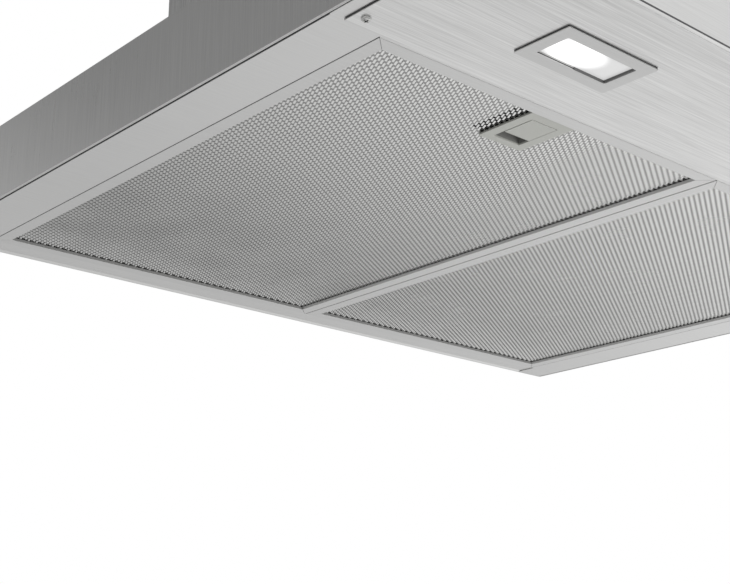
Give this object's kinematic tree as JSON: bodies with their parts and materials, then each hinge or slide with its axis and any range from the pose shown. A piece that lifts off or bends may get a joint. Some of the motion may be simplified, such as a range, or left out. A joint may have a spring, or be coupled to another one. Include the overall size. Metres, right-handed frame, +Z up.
{
  "type": "wall mount range hood",
  "caption": "Wall mounted chimney range hood: flat steel canopy with hinged grease filters, lamps, push buttons, blower and telescoping chimney.",
  "frame": {"origin": "on the wall plane, at the middle of the hood's width and at the level of the canopy's lower edge", "axes": "+X to the right as one faces the hood, +Y into the wall, so the front faces -Y, and +Z up"},
  "size_m": [0.6, 0.5024, 0.7626],
  "materials": {
    "brushed_steel": "satin, brushed",
    "bezel_steel": "satin",
    "screw_steel": "polished",
    "zinc_sheet": "galvanised",
    "hook_steel": "zinc plated",
    "frame_aluminium": "satin",
    "mesh_aluminium": "mill finish",
    "latch_plastic": "fine texture",
    "spring_steel": "bright",
    "lens": "frosted",
    "white_plastic": "moulded",
    "lamp_board": "solder mask",
    "button_plastic": "satin",
    "black_plastic": "moulded",
    "switch_board": "solder mask",
    "motor_steel": "machined"
  },
  "bodies": {
    "hood": {"canopy_shell": "brushed_steel", "canopy_back": "zinc_sheet", "base_pan": "brushed_steel", "lamp_panel": "brushed_steel", "back_rail": "brushed_steel", "centre_bar": "zinc_sheet", "panel_screws": "screw_steel", "lamp_bezel_left": "bezel_steel", "lamp_bezel_right": "bezel_steel", "lamp_lens_left": "lens", "lamp_lens_right": "lens", "lamp_housing_left": "white_plastic", "lamp_housing_right": "white_plastic", "lamp_board_left": "lamp_board", "lamp_board_right": "lamp_board", "lamp_clips_left": "spring_steel", "lamp_clips_right": "spring_steel", "lamp_driver": "white_plastic", "button_plate": "brushed_steel", "switch_case": "black_plastic", "switch_board": "switch_board", "chimney_lower": "brushed_steel", "blower_box": "zinc_sheet", "scroll_left": "black_plastic", "scroll_right": "black_plastic", "blower_motor": "motor_steel", "motor_bracket": "zinc_sheet", "motor_capacitor": "white_plastic", "terminal_box": "white_plastic", "terminal_cover": "white_plastic", "cable_gland": "black_plastic", "outlet_collar": "black_plastic", "flap_rod": "motor_steel", "blower_screws": "zinc_sheet"},
    "filter_left": {"filter_frame_left": "frame_aluminium", "filter_mesh_left": "mesh_aluminium", "filter_layers_left": "mesh_aluminium", "filter_hooks_left": "hook_steel", "latch_surround_left": "latch_plastic", "latch_spring_left": "spring_steel"},
    "latch_left": {"latch_slide_left": "latch_plastic"},
    "filter_right": {"filter_frame_right": "frame_aluminium", "filter_mesh_right": "mesh_aluminium", "filter_layers_right": "mesh_aluminium", "filter_hooks_right": "hook_steel", "latch_surround_right": "latch_plastic", "latch_spring_right": "spring_steel"},
    "latch_right": {"latch_slide_right": "latch_plastic"},
    "button_off": {"button_off": "button_plastic"},
    "button_low": {"button_low": "button_plastic"},
    "button_medium": {"button_medium": "button_plastic"},
    "button_high": {"button_high": "button_plastic"},
    "button_light": {"button_light": "button_plastic"},
    "chimney": {"chimney_upper": "brushed_steel", "chimney_bracket": "zinc_sheet", "cover_screws": "screw_steel"},
    "rotor": {"impeller": "black_plastic", "impeller_shaft": "motor_steel"},
    "flap_rear": {"flap_rear": "black_plastic"},
    "flap_front": {"flap_front": "black_plastic"}
  },
  "joints": [
    {"name": "filter_left_tilt", "type": "hinge", "parent": "hood", "child": "filter_left", "pos_m": [-0.1332, -0.0192, 0.0008], "axis": [1, 0, 0], "range_deg": [0, 50]},
    {"name": "latch_left_slide", "type": "slide", "parent": "filter_left", "child": "latch_left", "axis": [0, 1, 0], "range_m": [0, 0.006], "stiffness_N_per_m": 300, "springref_m": -0.002, "deforming": ["latch_spring_left"]},
    {"name": "filter_right_tilt", "type": "hinge", "parent": "hood", "child": "filter_right", "pos_m": [0.1332, -0.0192, 0.0008], "axis": [1, 0, 0], "range_deg": [0, 50]},
    {"name": "latch_right_slide", "type": "slide", "parent": "filter_right", "child": "latch_right", "axis": [0, 1, 0], "range_m": [0, 0.006], "stiffness_N_per_m": 300, "springref_m": -0.002, "deforming": ["latch_spring_right"]},
    {"name": "button_off_press", "type": "slide", "parent": "hood", "child": "button_off", "axis": [0, 1, 0], "range_m": [0, 0.0015], "stiffness_N_per_m": 600, "springref_m": -0.0005},
    {"name": "button_low_press", "type": "slide", "parent": "hood", "child": "button_low", "axis": [0, 1, 0], "range_m": [0, 0.0015], "stiffness_N_per_m": 600, "springref_m": -0.0005},
    {"name": "button_medium_press", "type": "slide", "parent": "hood", "child": "button_medium", "axis": [0, 1, 0], "range_m": [0, 0.0015], "stiffness_N_per_m": 600, "springref_m": -0.0005},
    {"name": "button_high_press", "type": "slide", "parent": "hood", "child": "button_high", "axis": [0, 1, 0], "range_m": [0, 0.0015], "stiffness_N_per_m": 600, "springref_m": -0.0005},
    {"name": "button_light_press", "type": "slide", "parent": "hood", "child": "button_light", "axis": [0, 1, 0], "range_m": [0, 0.0015], "stiffness_N_per_m": 600, "springref_m": -0.0005},
    {"name": "chimney_extend", "type": "slide", "parent": "hood", "child": "chimney", "axis": [0, 0, 1], "range_m": [-0.1, 0.19]},
    {"name": "blower_spin", "type": "hinge", "parent": "hood", "child": "rotor", "pos_m": [0, -0.0905, 0.155], "axis": [1, 0, 0], "continuous": true},
    {"name": "flap_rear_swing", "type": "hinge", "parent": "hood", "child": "flap_rear", "pos_m": [0, -0.107, 0.343], "axis": [1, 0, 0], "range_deg": [0, 75]},
    {"name": "flap_front_swing", "type": "hinge", "parent": "hood", "child": "flap_front", "pos_m": [0, -0.107, 0.343], "axis": [-1, 0, 0], "range_deg": [0, 75]}
  ]
}
